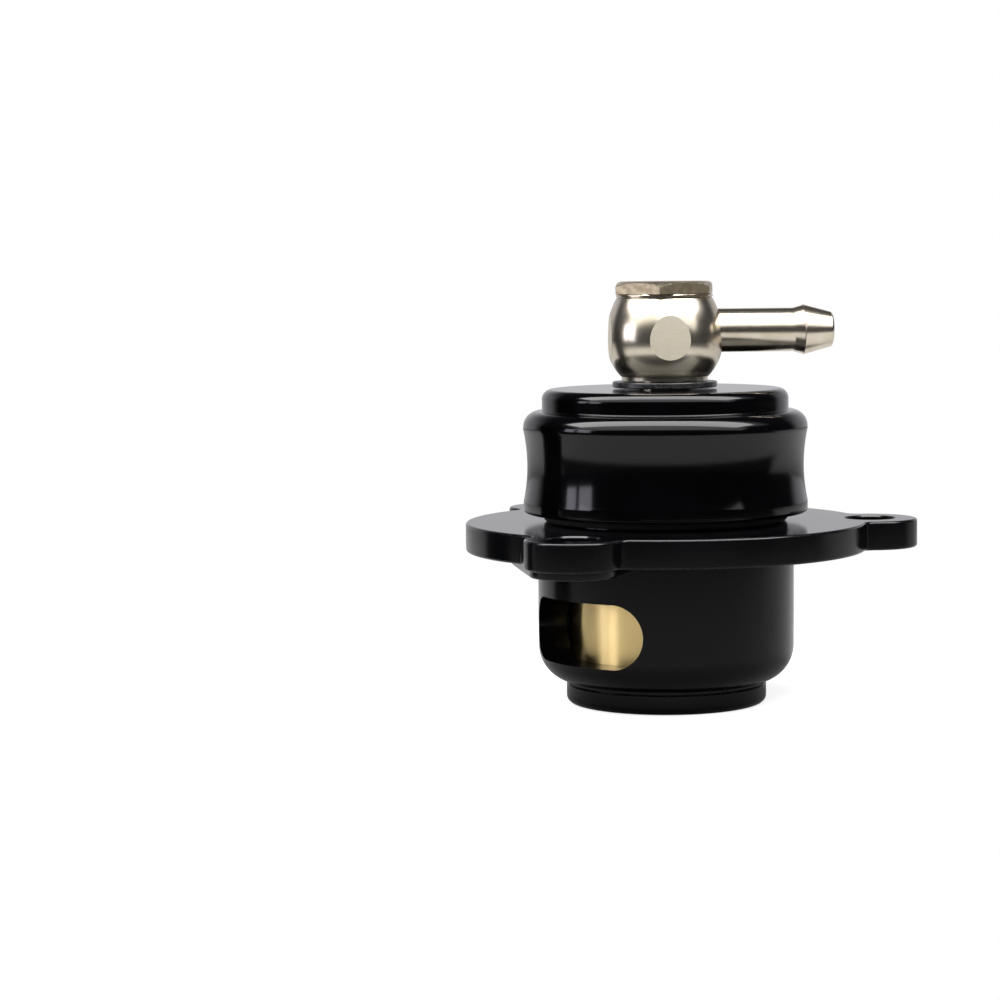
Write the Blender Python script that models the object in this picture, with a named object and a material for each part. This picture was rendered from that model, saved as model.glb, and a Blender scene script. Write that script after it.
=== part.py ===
"""Blow off valve: a spring loaded brass piston in a flanged body, under a turned cap.

The valve stands on its spigot. The origin is on the valve's axis, in the spigot's end face.
X points to the right ear of the flange, Z up to the hose fitting. Sizes are in metres.
"""

import math

import bmesh
import bpy
from mathutils import Matrix, Vector

MM = 0.001

# Clearances
FLAT_GAP = 0.2 * MM
SLIDE_GAP = 0.3 * MM
RING_GAP = 0.15 * MM
OVERCUT = 1.0 * MM

# Facets
TURN_STEPS = 52
RING_STEPS = 36
SMALL_STEPS = 32
BARB_STEPS = 24
HOLE_STEPS = 24
BORE_STEPS = 16
FILLET_STEPS = 3
RIM_FILLET_STEPS = 2
EAR_STEPS = 16
EAR_FILLET_STEPS = 4
FLANGE_ARC_STEPS = 18
BOSS_TIP_STEPS = 12
BOSS_ROOT_STEPS = 16
WIRE_SIDES_LEVEL = 1
STEPS_PER_TURN = 16
PORT_END_STEPS = 6
PORT_SWING_STEPS = 6
PORT_END_LEAN = math.radians(80.0)

# Spigot and seat
INLET_RADIUS = 11.4 * MM
INLET_CHAMFER = 0.6 * MM
SPIGOT_WALL = 2.6 * MM
SPIGOT_HEIGHT = 3.1 * MM
SPIGOT_EDGE = 1.0 * MM
UNDERCUT_HEIGHT = 0.35 * MM
UNDERCUT_DEPTH = 0.4 * MM
SEAT_WIDTH = 2.1 * MM

# Lower body
BODY_WALL = 4.4 * MM
BODY_FILLET = 5.0 * MM

# Side ports
PORT_HEIGHT = 8.9 * MM
PORT_OVERLAP = 3.2 * MM
PORT_FACING = math.radians(222.0)
PORT_HALF_ANGLE = math.radians(22.5)
PORT_COUNT = 2

# Flange
PORT_TO_FLANGE = 6.0 * MM
FLANGE_THICKNESS = 4.0 * MM
FLANGE_WIDTH = 10.1 * MM
FLANGE_EDGE = 0.4 * MM
EAR_COUNT = 3
EAR_OFFSET = 0.8 * MM
EAR_WALL = 3.15 * MM
EAR_FILLET = 1.6 * MM
EAR_TURN = math.radians(4.0)
BOLT_HOLE_RADIUS = 3.45 * MM

# Thin boss under the front left ear
BOSS_DROP = 1.0 * MM
BOSS_TIP_INSET = 0.7 * MM
BOSS_ROOT_RADIUS = 9.5 * MM
BOSS_ROOT_SINK = 2.4 * MM
BOSS_FACING = math.radians(220.3)

# Threaded neck
NECK_WALL = 3.5 * MM
NECK_SPARE = 0.8 * MM
NECK_CHAMFER = 0.8 * MM
RELIEF_HEIGHT = 2.2 * MM
RELIEF_DEPTH = 1.3 * MM

# Spring cap
CAP_WALL = 2.55 * MM
CAP_LIFT = 1.3 * MM
SHOULDER_WALL = 2.5 * MM
SHOULDER_FILLET = 2.25 * MM
SHOULDER_WIDTH = 2.65 * MM
CAP_RIM_FILLET = 0.5 * MM
WAIST_DEPTH = 0.55 * MM
WAIST_MARGIN = 1.0 * MM
STEP_HEIGHT = 3.0 * MM
STEP_FILLET = 1.4 * MM
CAP_ROOF = 2.8 * MM
POCKET_CLEARANCE = 1.4 * MM
CAP_BOSS_CLEARANCE = 2.0 * MM
CAP_BOSS_LENGTH = 3.7 * MM

# Piston and its rings
PISTON_WALL = 2.2 * MM
PISTON_FLOOR = 3.2 * MM
PISTON_NOSE = 0.8 * MM
PISTON_LIP = 1.4 * MM
PISTON_TRAVEL = 11.0 * MM
RING_GROOVE_DEPTH = 1.1 * MM
RING_MARGIN = 1.9 * MM
RING_SPACING = 1.2 * MM
GUIDE_RING_HEIGHT = 2.0 * MM
O_RING_GROOVE_HEIGHT = 1.2 * MM

# Spring and shim
WIRE_RADIUS = 0.8 * MM
SPRING_CLEARANCE = 0.8 * MM
ACTIVE_TURNS = 5
END_TURNS = 1
COIL_GAP = 0.15 * MM
SHIM_THICKNESS = 0.5 * MM
SHIM_CLEARANCE = 0.6 * MM

# Cap O-ring
CAP_O_RING_SECTION = 0.5 * MM

# Washers and banjo
SHANK_RADIUS = 4.0 * MM
LOWER_WASHER_WIDTH = 3.0 * MM
LOWER_WASHER_THICKNESS = 0.8 * MM
UPPER_WASHER_WIDTH = 2.0 * MM
UPPER_WASHER_THICKNESS = 0.45 * MM
BANJO_HEIGHT = 11.45 * MM
BANJO_FOOT_WALL = 1.7 * MM
BANJO_FOOT_HEIGHT = 0.5 * MM
BANJO_LOWER_WALL = 1.8 * MM
BANJO_MIDDLE_WALL = 3.85 * MM
BANJO_UPPER_WALL = 2.7 * MM
BANJO_FLAT_DEPTH = 0.5 * MM
BANJO_GROOVE_DEPTH = 1.0 * MM
BANJO_GROOVE_HEIGHT = 4.6 * MM
BANJO_TURN = math.radians(5.0)

# Hose barb
BARB_DROP = 4.65 * MM
BARB_BORE_RADIUS = 1.6 * MM
BARB_SHAFT_RADIUS = 3.03 * MM
BARB_SHAFT_LENGTH = 9.85 * MM
BARB_RAMP_LENGTH = 1.4 * MM
BARB_RIDGE_RADIUS = 3.5 * MM
BARB_NOSE_LENGTH = 4.1 * MM
BARB_TIP_RADIUS = 2.45 * MM
BARB_TIP_EDGE = 0.25 * MM

# Banjo bolt
HEAD_ACROSS_FLATS = 13.0 * MM
HEAD_HEIGHT = 1.4 * MM
HEAD_CHAMFER_ANGLE = math.radians(30.0)
HEAD_FACE_SHARE = 0.95
HEAD_TURN = math.radians(-5.3)
SHANK_END_GAP = 0.5 * MM
SHANK_CHAMFER = 0.5 * MM
BOLT_BORE_RADIUS = 2.0 * MM
BOLT_BORE_ROOF = 1.8 * MM

# Radii that follow
SPIGOT_RADIUS = INLET_RADIUS + SPIGOT_WALL
BORE_RADIUS = INLET_RADIUS + SEAT_WIDTH
BODY_RADIUS = BORE_RADIUS + BODY_WALL
NECK_RADIUS = BORE_RADIUS + NECK_WALL
RELIEF_RADIUS = NECK_RADIUS - RELIEF_DEPTH
FLANGE_RADIUS = BODY_RADIUS + FLANGE_WIDTH
EAR_CIRCLE = FLANGE_RADIUS + EAR_OFFSET
EAR_RADIUS = BOLT_HOLE_RADIUS + EAR_WALL
CAP_THREAD_RADIUS = NECK_RADIUS + SLIDE_GAP
CAP_RADIUS = CAP_THREAD_RADIUS + CAP_WALL
STEP_RADIUS = CAP_RADIUS - SHOULDER_WIDTH
PISTON_RADIUS = BORE_RADIUS - SLIDE_GAP
CUP_RADIUS = PISTON_RADIUS - PISTON_WALL
RING_INNER_RADIUS = PISTON_RADIUS - RING_GROOVE_DEPTH + RING_GAP
RING_OUTER_RADIUS = BORE_RADIUS - RING_GAP
SPRING_OUTER_RADIUS = CUP_RADIUS - SPRING_CLEARANCE
SPRING_RADIUS = SPRING_OUTER_RADIUS - WIRE_RADIUS
POCKET_RADIUS = SPRING_OUTER_RADIUS + POCKET_CLEARANCE
EYE_RADIUS = SHANK_RADIUS + SLIDE_GAP
CAP_BOSS_RADIUS = SPRING_RADIUS - WIRE_RADIUS - CAP_BOSS_CLEARANCE
LOWER_WASHER_RADIUS = EYE_RADIUS + LOWER_WASHER_WIDTH
UPPER_WASHER_RADIUS = EYE_RADIUS + UPPER_WASHER_WIDTH
BANJO_RADIUS = EYE_RADIUS + BANJO_MIDDLE_WALL
BARB_RAMP_START = BANJO_RADIUS + BARB_SHAFT_LENGTH
BARB_RIDGE = BARB_RAMP_START + BARB_RAMP_LENGTH
BARB_LENGTH = BARB_RIDGE + BARB_NOSE_LENGTH

# Heights that follow, from the spigot's end face upward
PISTON_BOTTOM = SPIGOT_HEIGHT + SLIDE_GAP
PORT_CENTRE = PISTON_BOTTOM + PORT_OVERLAP + PORT_HEIGHT / 2.0
FLANGE_BOTTOM = PORT_CENTRE + PORT_HEIGHT / 2.0 + PORT_TO_FLANGE
FLANGE_TOP = FLANGE_BOTTOM + FLANGE_THICKNESS
FLANGE_MIDDLE = FLANGE_BOTTOM + FLANGE_THICKNESS / 2.0
LOWER_RING_BOTTOM = PISTON_BOTTOM + PORT_OVERLAP + PORT_HEIGHT + RING_MARGIN
O_RING_BOTTOM = LOWER_RING_BOTTOM + GUIDE_RING_HEIGHT + RING_SPACING
UPPER_RING_BOTTOM = O_RING_BOTTOM + O_RING_GROOVE_HEIGHT + RING_SPACING
PISTON_TOP = UPPER_RING_BOTTOM + GUIDE_RING_HEIGHT + PISTON_LIP
NECK_TOP = PISTON_TOP + PISTON_TRAVEL + NECK_SPARE
CAP_BOTTOM = FLANGE_TOP + CAP_LIFT
CAP_BORE_TOP = NECK_TOP + SLIDE_GAP
CAP_SHOULDER = CAP_BORE_TOP + SHOULDER_WALL
CAP_TOP = CAP_SHOULDER + STEP_HEIGHT
POCKET_TOP = CAP_TOP - CAP_ROOF
CAP_BOSS_BOTTOM = POCKET_TOP - CAP_BOSS_LENGTH
PISTON_FLOOR_TOP = PISTON_BOTTOM + PISTON_FLOOR
SPRING_BOTTOM = PISTON_FLOOR_TOP + FLAT_GAP
SHIM_BOTTOM = POCKET_TOP - FLAT_GAP - SHIM_THICKNESS
SPRING_TOP = SHIM_BOTTOM - FLAT_GAP
LOWER_WASHER_BOTTOM = CAP_TOP + FLAT_GAP
BANJO_BOTTOM = LOWER_WASHER_BOTTOM + LOWER_WASHER_THICKNESS + FLAT_GAP
BANJO_TOP = BANJO_BOTTOM + BANJO_HEIGHT
BARB_HEIGHT = BANJO_TOP - BARB_DROP
UPPER_WASHER_BOTTOM = BANJO_TOP + FLAT_GAP
HEAD_BOTTOM = UPPER_WASHER_BOTTOM + UPPER_WASHER_THICKNESS + FLAT_GAP
HEAD_TOP = HEAD_BOTTOM + HEAD_HEIGHT
SHANK_END = CAP_BOSS_BOTTOM + SHANK_END_GAP

# Directions that follow
EAR_ANGLES = [EAR_TURN + index * math.tau / EAR_COUNT for index in range(EAR_COUNT)]
FRONT_EAR_ANGLE = EAR_ANGLES[-1]


def clear_scene():
    """Remove every object of the open file."""
    for old in list(bpy.data.objects):
        bpy.data.objects.remove(old, do_unlink=True)


def make_material(name, colour, roughness, metallic):
    """Return a Principled material with one colour."""
    material = bpy.data.materials.new(name)
    material.use_nodes = True
    shader = material.node_tree.nodes["Principled BSDF"]
    shader.inputs["Base Color"].default_value = (*colour, 1.0)
    shader.inputs["Roughness"].default_value = roughness
    shader.inputs["Metallic"].default_value = metallic
    return material


def arc(centre, radius, start, end, steps=FILLET_STEPS):
    """Return points on a circle's arc, angles in degrees, both ends included."""
    points = []
    for index in range(steps + 1):
        angle = math.radians(start + (end - start) * index / steps)
        points.append((centre[0] + radius * math.cos(angle), centre[1] + radius * math.sin(angle)))
    return points


def bow(first, last, middle, steps):
    """Return points on the circle's arc from first to last that passes through middle."""
    (ax, ay), (bx, by), (cx, cy) = first, middle, last
    d = 2.0 * (ax * (by - cy) + bx * (cy - ay) + cx * (ay - by))
    a2, b2, c2 = ax * ax + ay * ay, bx * bx + by * by, cx * cx + cy * cy
    x = (a2 * (by - cy) + b2 * (cy - ay) + c2 * (ay - by)) / d
    y = (a2 * (cx - bx) + b2 * (ax - cx) + c2 * (bx - ax)) / d
    start = math.degrees(math.atan2(ay - y, ax - x))
    end = math.degrees(math.atan2(cy - y, cx - x))
    turn = (end - start + 180.0) % 360.0 - 180.0
    return arc((x, y), math.hypot(ax - x, ay - y), start, start + turn, steps)


def finish(name, mesh_data, material):
    """Turn a bmesh into a linked object with outward faces and smooth round sides."""
    bmesh.ops.remove_doubles(mesh_data, verts=mesh_data.verts, dist=1e-7)
    bmesh.ops.recalc_face_normals(mesh_data, faces=mesh_data.faces)
    mesh = bpy.data.meshes.new(name)
    mesh_data.to_mesh(mesh)
    mesh_data.free()
    mesh.shade_smooth()
    mesh.set_sharp_from_angle(angle=math.radians(30.0))
    made = bpy.data.objects.new(name, mesh)
    bpy.context.collection.objects.link(made)
    if material is not None:
        mesh.materials.append(material)
    return made


def turned(name, profile, material, steps=TURN_STEPS):
    """Spin a closed outline of (radius, height) points about the Z axis."""
    mesh_data = bmesh.new()
    verts = [mesh_data.verts.new((radius, 0.0, height)) for radius, height in profile]
    edges = []
    for index, vert in enumerate(verts):
        following = verts[(index + 1) % len(verts)]
        if math.hypot(vert.co.x, following.co.x) > 1e-9:
            edges.append(mesh_data.edges.new((vert, following)))
    bmesh.ops.spin(
        mesh_data, geom=verts + edges, cent=(0, 0, 0), axis=(0, 0, 1), angle=math.tau,
        steps=steps, use_merge=True
    )
    return finish(name, mesh_data, material)


def turned_cutter(name, radius, bottom, top):
    """Return a round cutter on the valve's axis, with the same facets as the turned pieces."""
    return turned(name, [(0.0, top), (radius, top), (radius, bottom), (0.0, bottom)], None)


def extruded(name, outline, bottom, top, material, edge=0.0):
    """Raise a plan outline into a plate, with its rims bevelled by the edge width."""
    mesh_data = bmesh.new()
    face = mesh_data.faces.new([mesh_data.verts.new((x, y, bottom)) for x, y in outline])
    raised = bmesh.ops.extrude_face_region(mesh_data, geom=[face])
    upper = [item for item in raised["geom"] if isinstance(item, bmesh.types.BMVert)]
    bmesh.ops.translate(mesh_data, verts=upper, vec=(0, 0, top - bottom))
    if edge > 0.0:
        rims = [e for e in mesh_data.edges if abs(e.verts[0].co.z - e.verts[1].co.z) < 1e-7]
        bmesh.ops.bevel(mesh_data, geom=rims, offset=edge, segments=1, profile=0.5, affect="EDGES")
    return finish(name, mesh_data, material)


def rod(name, start, end, radius, steps=SMALL_STEPS):
    """Return a plain round cutter between two points."""
    start, end = Vector(start), Vector(end)
    turn = (end - start).to_track_quat("Z", "Y").to_matrix().to_4x4()
    place = Matrix.Translation((start + end) / 2.0) @ turn
    mesh_data = bmesh.new()
    bmesh.ops.create_cone(
        mesh_data, cap_ends=True, segments=steps, radius1=radius, radius2=radius,
        depth=(end - start).length, matrix=place
    )
    return finish(name, mesh_data, None)


def boolean(target, tool, operation):
    """Cut, join or intersect the target with a tool that stays on it as a hidden guide."""
    tool.parent = target
    tool.hide_render = True
    tool.display_type = "WIRE"
    modifier = target.modifiers.new(tool.name, "BOOLEAN")
    modifier.operation = operation
    modifier.object = tool
    modifier.solver = "EXACT"


def polar(radius, angle):
    """Return the plan point at a radius and an angle about the valve's axis."""
    return (radius * math.cos(angle), radius * math.sin(angle))


def flange_outline():
    """Return the plan outline of the disc, its ears and the fillets between them."""
    reach = FLANGE_RADIUS + EAR_FILLET
    ear_reach = EAR_RADIUS + EAR_FILLET
    offset = math.acos((reach**2 + EAR_CIRCLE**2 - ear_reach**2) / (2.0 * reach * EAR_CIRCLE))
    outline = []
    for angle in EAR_ANGLES:
        ear = Vector(polar(EAR_CIRCLE, angle))
        before = Vector(polar(reach, angle - offset))
        after = Vector(polar(reach, angle + offset))
        enter = math.degrees(math.atan2(before.y - ear.y, before.x - ear.x))
        leave = math.degrees(math.atan2(after.y - ear.y, after.x - ear.x))
        disc_end = math.degrees(angle - offset)
        disc_start = math.degrees(angle + offset)
        turn_in = (disc_end - enter) % 360.0
        outline += arc(before, EAR_FILLET, disc_end + 180.0, disc_end + 180.0 - turn_in, EAR_FILLET_STEPS)
        sweep = (leave - enter) % 360.0
        outline += arc(ear, EAR_RADIUS, enter, enter + sweep, EAR_STEPS)[1:]
        turn_back = (leave - disc_start) % 360.0
        outline += arc(after, EAR_FILLET, leave + 180.0, leave + 180.0 - turn_back, EAR_FILLET_STEPS)[1:]
        gap = 360.0 / EAR_COUNT - 2.0 * math.degrees(offset)
        outline += arc((0, 0), FLANGE_RADIUS, disc_start, disc_start + gap, FLANGE_ARC_STEPS)[1:-1]
    return outline


def boss_outline():
    """Return the plan outline of the boss: a root circle and a tip circle with straight sides."""
    tip_radius = EAR_RADIUS - BOSS_TIP_INSET
    tip = Vector(polar(EAR_CIRCLE, FRONT_EAR_ANGLE))
    root = Vector(polar(BODY_RADIUS - BOSS_ROOT_SINK, BOSS_FACING))
    facing = math.degrees(math.atan2(tip.y - root.y, tip.x - root.x))
    spread = math.degrees(math.acos((BOSS_ROOT_RADIUS - tip_radius) / (tip - root).length))
    outline = arc(tip, tip_radius, facing - spread, facing + spread, BOSS_TIP_STEPS)
    outline += arc(root, BOSS_ROOT_RADIUS, facing + spread, facing + 360.0 - spread, BOSS_ROOT_STEPS)
    return outline


def port_cutter(name, facing):
    """Return the path of a round milling tool that enters from the side and swings about the axis."""
    inner = BORE_RADIUS - OVERCUT / 2.0
    outer = BODY_RADIUS + OVERCUT
    tool = PORT_HEIGHT / 2.0
    first_angle = facing - PORT_HALF_ANGLE
    last_angle = facing + PORT_HALF_ANGLE
    columns = []
    for index in range(PORT_END_STEPS):
        lean = PORT_END_LEAN * (index / PORT_END_STEPS - 1.0)
        columns.append((first_angle, tool * math.sin(lean), tool * math.cos(lean)))
    for index in range(PORT_SWING_STEPS + 1):
        columns.append((first_angle + (last_angle - first_angle) * index / PORT_SWING_STEPS, 0.0, tool))
    for index in range(PORT_END_STEPS):
        lean = PORT_END_LEAN * (index + 1) / PORT_END_STEPS
        columns.append((last_angle, tool * math.sin(lean), tool * math.cos(lean)))
    mesh_data = bmesh.new()
    sections = []
    for angle, sideways, half_height in columns:
        outward = Vector((math.cos(angle), math.sin(angle), 0.0))
        across = Vector((-math.sin(angle), math.cos(angle), 0.0))
        corners = []
        for radius, rise in ((inner, -1), (outer, -1), (outer, 1), (inner, 1)):
            height = Vector((0.0, 0.0, PORT_CENTRE + rise * half_height))
            corners.append(mesh_data.verts.new(outward * radius + across * sideways + height))
        sections.append(corners)
    for first, second in zip(sections, sections[1:]):
        for index in range(4):
            following = (index + 1) % 4
            mesh_data.faces.new((first[index], first[following], second[following], second[index]))
    mesh_data.faces.new(sections[0])
    mesh_data.faces.new(sections[-1])
    return finish(name, mesh_data, None)


def make_valve_body(material):
    """Model the one-piece body: spigot, rounded lower body, ports, flange and threaded neck."""
    undercut_bottom = SPIGOT_HEIGHT - UNDERCUT_HEIGHT
    undercut_radius = SPIGOT_RADIUS - UNDERCUT_DEPTH
    fillet_centre = (BODY_RADIUS - BODY_FILLET, SPIGOT_HEIGHT + BODY_FILLET)
    fillet_end = -90.0 + math.degrees(math.asin((undercut_radius - fillet_centre[0]) / BODY_FILLET))
    profile = [
        (BORE_RADIUS, NECK_TOP),
        (NECK_RADIUS - NECK_CHAMFER, NECK_TOP),
        (NECK_RADIUS, NECK_TOP - NECK_CHAMFER),
        (NECK_RADIUS, FLANGE_TOP + RELIEF_HEIGHT),
        (RELIEF_RADIUS, FLANGE_TOP + RELIEF_HEIGHT),
        (RELIEF_RADIUS, FLANGE_MIDDLE),
        (BODY_RADIUS, FLANGE_MIDDLE),
    ]
    profile += arc(fillet_centre, BODY_FILLET, 0.0, fillet_end, 2 * FILLET_STEPS)
    profile += [(undercut_radius, undercut_bottom), (SPIGOT_RADIUS, undercut_bottom)]
    profile += arc((SPIGOT_RADIUS - SPIGOT_EDGE, SPIGOT_EDGE), SPIGOT_EDGE, 0.0, -90.0)
    profile += [
        (INLET_RADIUS + INLET_CHAMFER, 0.0),
        (INLET_RADIUS, INLET_CHAMFER),
        (INLET_RADIUS, SPIGOT_HEIGHT),
        (BORE_RADIUS, SPIGOT_HEIGHT),
    ]
    body = turned("valve_body", profile, material)
    plate = extruded("flange_plate", flange_outline(), FLANGE_BOTTOM, FLANGE_TOP, material, FLANGE_EDGE)
    boss = extruded("flange_boss", boss_outline(), FLANGE_BOTTOM - BOSS_DROP, FLANGE_MIDDLE, material)
    boolean(body, plate, "UNION")
    boolean(body, boss, "UNION")
    bore = turned_cutter("flange_bore", BORE_RADIUS, FLANGE_BOTTOM - 2.0 * OVERCUT, FLANGE_TOP + OVERCUT)
    boolean(body, bore, "DIFFERENCE")
    for index, angle in enumerate(EAR_ANGLES):
        x, y = polar(EAR_CIRCLE, angle)
        start = (x, y, FLANGE_BOTTOM - BOSS_DROP - OVERCUT)
        end = (x, y, FLANGE_TOP + OVERCUT)
        boolean(body, rod(f"bolt_hole_{index}", start, end, BOLT_HOLE_RADIUS, HOLE_STEPS), "DIFFERENCE")
    for index in range(PORT_COUNT):
        facing = PORT_FACING + index * math.tau / PORT_COUNT
        boolean(body, port_cutter(f"side_port_{index}", facing), "DIFFERENCE")
    return body


def make_spring_cap(material):
    """Model the turned cap: waisted skirt, shoulder, upper step and a threaded centre boss."""
    waist_top = CAP_SHOULDER - SHOULDER_FILLET
    waist_bottom = CAP_BOTTOM + CAP_RIM_FILLET + WAIST_MARGIN
    waist_middle = (CAP_RADIUS - WAIST_DEPTH, (waist_top + waist_bottom) / 2.0)
    profile = [(EYE_RADIUS, CAP_TOP)]
    profile += arc((STEP_RADIUS - STEP_FILLET, CAP_TOP - STEP_FILLET), STEP_FILLET, 90.0, 0.0)
    profile += [(STEP_RADIUS, CAP_SHOULDER)]
    profile += arc((CAP_RADIUS - SHOULDER_FILLET, CAP_SHOULDER - SHOULDER_FILLET), SHOULDER_FILLET, 90.0, 0.0)
    profile += bow((CAP_RADIUS, waist_top), (CAP_RADIUS, waist_bottom), waist_middle, 2 * FILLET_STEPS)
    rim_centre = (CAP_RADIUS - CAP_RIM_FILLET, CAP_BOTTOM + CAP_RIM_FILLET)
    profile += arc(rim_centre, CAP_RIM_FILLET, 0.0, -90.0, RIM_FILLET_STEPS)
    profile += [
        (CAP_THREAD_RADIUS, CAP_BOTTOM),
        (CAP_THREAD_RADIUS, CAP_BORE_TOP),
        (POCKET_RADIUS, CAP_BORE_TOP),
        (POCKET_RADIUS, POCKET_TOP),
        (CAP_BOSS_RADIUS, POCKET_TOP),
        (CAP_BOSS_RADIUS, CAP_BOSS_BOTTOM),
        (EYE_RADIUS, CAP_BOSS_BOTTOM),
    ]
    return turned("spring_cap", profile, material)


def make_piston(material):
    """Model the hollow piston, open at the top, with three grooves for its rings."""
    groove_radius = PISTON_RADIUS - RING_GROOVE_DEPTH
    grooves = (
        (UPPER_RING_BOTTOM, GUIDE_RING_HEIGHT),
        (O_RING_BOTTOM, O_RING_GROOVE_HEIGHT),
        (LOWER_RING_BOTTOM, GUIDE_RING_HEIGHT),
    )
    profile = [
        (0.0, PISTON_FLOOR_TOP),
        (CUP_RADIUS, PISTON_FLOOR_TOP),
        (CUP_RADIUS, PISTON_TOP),
        (PISTON_RADIUS, PISTON_TOP),
    ]
    for bottom, height in grooves:
        profile += [
            (PISTON_RADIUS, bottom + height + FLAT_GAP),
            (groove_radius, bottom + height + FLAT_GAP),
            (groove_radius, bottom - FLAT_GAP),
            (PISTON_RADIUS, bottom - FLAT_GAP),
        ]
    profile += [
        (PISTON_RADIUS, PISTON_BOTTOM + PISTON_NOSE),
        (PISTON_RADIUS - PISTON_NOSE, PISTON_BOTTOM),
        (0.0, PISTON_BOTTOM),
    ]
    return turned("piston", profile, material)


def make_flat_ring(name, inner, outer, bottom, thickness, material, steps):
    """Model a flat ring on the valve's axis."""
    top = bottom + thickness
    return turned(name, [(inner, top), (outer, top), (outer, bottom), (inner, bottom)], material, steps)


def make_o_ring(name, centre_radius, section, height, material):
    """Model a rubber ring on the valve's axis with a round section."""
    profile = arc((centre_radius, height), section, 360.0, 0.0, 2 * FILLET_STEPS)[:-1]
    return turned(name, profile, material, RING_STEPS)


def spring_path():
    """Return the coil's centre line: flat end turns and evenly pitched turns between them."""
    bottom = SPRING_BOTTOM + WIRE_RADIUS
    end_pitch = 2.0 * WIRE_RADIUS + COIL_GAP
    active_rise = SPRING_TOP - SPRING_BOTTOM - 2.0 * WIRE_RADIUS - 2.0 * END_TURNS * end_pitch
    turns = ACTIVE_TURNS + 2 * END_TURNS
    points = []
    for index in range(turns * STEPS_PER_TURN + 1):
        turn = index / STEPS_PER_TURN
        active = min(max(turn - END_TURNS, 0.0), ACTIVE_TURNS)
        rise = end_pitch * (turn - active) + active_rise * active / ACTIVE_TURNS
        x, y = polar(SPRING_RADIUS, turn * math.tau)
        points.append((x, y, bottom + rise))
    return points


def make_spring(material):
    """Model the compression spring as a round wire along its coil."""
    points = spring_path()
    curve = bpy.data.curves.new("spring", "CURVE")
    curve.dimensions = "3D"
    curve.bevel_depth = WIRE_RADIUS
    curve.bevel_resolution = WIRE_SIDES_LEVEL
    curve.use_fill_caps = True
    spline = curve.splines.new("POLY")
    spline.points.add(len(points) - 1)
    for point, place in zip(spline.points, points):
        point.co = (*place, 1.0)
    curve.materials.append(material)
    spring = bpy.data.objects.new("spring", curve)
    bpy.context.collection.objects.link(spring)
    return spring


def barb_profile():
    """Return the outline of the hose barb, its length along Z."""
    return [
        (0.0, BARB_LENGTH),
        (BARB_TIP_RADIUS - BARB_TIP_EDGE, BARB_LENGTH),
        (BARB_TIP_RADIUS, BARB_LENGTH - BARB_TIP_EDGE),
        (BARB_RIDGE_RADIUS, BARB_RIDGE),
        (BARB_SHAFT_RADIUS, BARB_RAMP_START),
        (BARB_SHAFT_RADIUS, EYE_RADIUS),
        (0.0, EYE_RADIUS),
    ]


def flat_cutter(name, distance, angle):
    """Return a block outside a distance from the axis, on the side that the angle gives."""
    place = Matrix.Translation((distance + OVERCUT, 0.0, BANJO_BOTTOM + BANJO_HEIGHT / 2.0))
    size = Matrix.Diagonal((2.0 * OVERCUT, 2.0 * BANJO_RADIUS, BANJO_HEIGHT + 2.0 * OVERCUT, 1.0))
    mesh_data = bmesh.new()
    bmesh.ops.create_cube(mesh_data, size=1.0, matrix=Matrix.Rotation(angle, 4, "Z") @ place @ size)
    return finish(name, mesh_data, None)


def make_banjo(material):
    """Model the banjo: a barrel with three flats, a bored eye and a hose barb, in one piece."""
    foot_top = BANJO_BOTTOM + BANJO_FOOT_HEIGHT
    foot_radius = EYE_RADIUS + BANJO_FOOT_WALL
    upper = (EYE_RADIUS + BANJO_UPPER_WALL, BANJO_TOP)
    lower = (EYE_RADIUS + BANJO_LOWER_WALL, foot_top)
    middle = (BANJO_RADIUS, (foot_top + BANJO_TOP) / 2.0)
    barrel = [(0.0, BANJO_TOP)]
    barrel += bow(upper, lower, middle, 3 * FILLET_STEPS)
    barrel += [(foot_radius, foot_top), (foot_radius, BANJO_BOTTOM), (0.0, BANJO_BOTTOM)]
    banjo = turned("banjo_fitting", barrel, material, SMALL_STEPS)
    for index in range(1, 4):
        flat = flat_cutter(f"banjo_flat_{index}", BANJO_RADIUS - BANJO_FLAT_DEPTH, index * math.tau / 4)
        boolean(banjo, flat, "DIFFERENCE")
    barb = turned("hose_barb", barb_profile(), material, BARB_STEPS)
    barb.data.transform(Matrix.Translation((0, 0, BARB_HEIGHT)) @ Matrix.Rotation(math.pi / 2.0, 4, "Y"))
    boolean(banjo, barb, "UNION")
    groove_radius = EYE_RADIUS + BANJO_GROOVE_DEPTH
    groove_bottom = BARB_HEIGHT - BANJO_GROOVE_HEIGHT / 2.0
    groove_top = BARB_HEIGHT + BANJO_GROOVE_HEIGHT / 2.0
    eye = [
        (0.0, BANJO_TOP + OVERCUT),
        (EYE_RADIUS, BANJO_TOP + OVERCUT),
        (EYE_RADIUS, groove_top),
        (groove_radius, groove_top),
        (groove_radius, groove_bottom),
        (EYE_RADIUS, groove_bottom),
        (EYE_RADIUS, BANJO_BOTTOM - OVERCUT),
        (0.0, BANJO_BOTTOM - OVERCUT),
    ]
    boolean(banjo, turned("banjo_eye", eye, None, SMALL_STEPS), "DIFFERENCE")
    inner = (EYE_RADIUS, 0.0, BARB_HEIGHT)
    outer = (BARB_LENGTH + OVERCUT, 0.0, BARB_HEIGHT)
    boolean(banjo, rod("barb_bore", inner, outer, BARB_BORE_RADIUS, BORE_STEPS), "DIFFERENCE")
    return banjo


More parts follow.
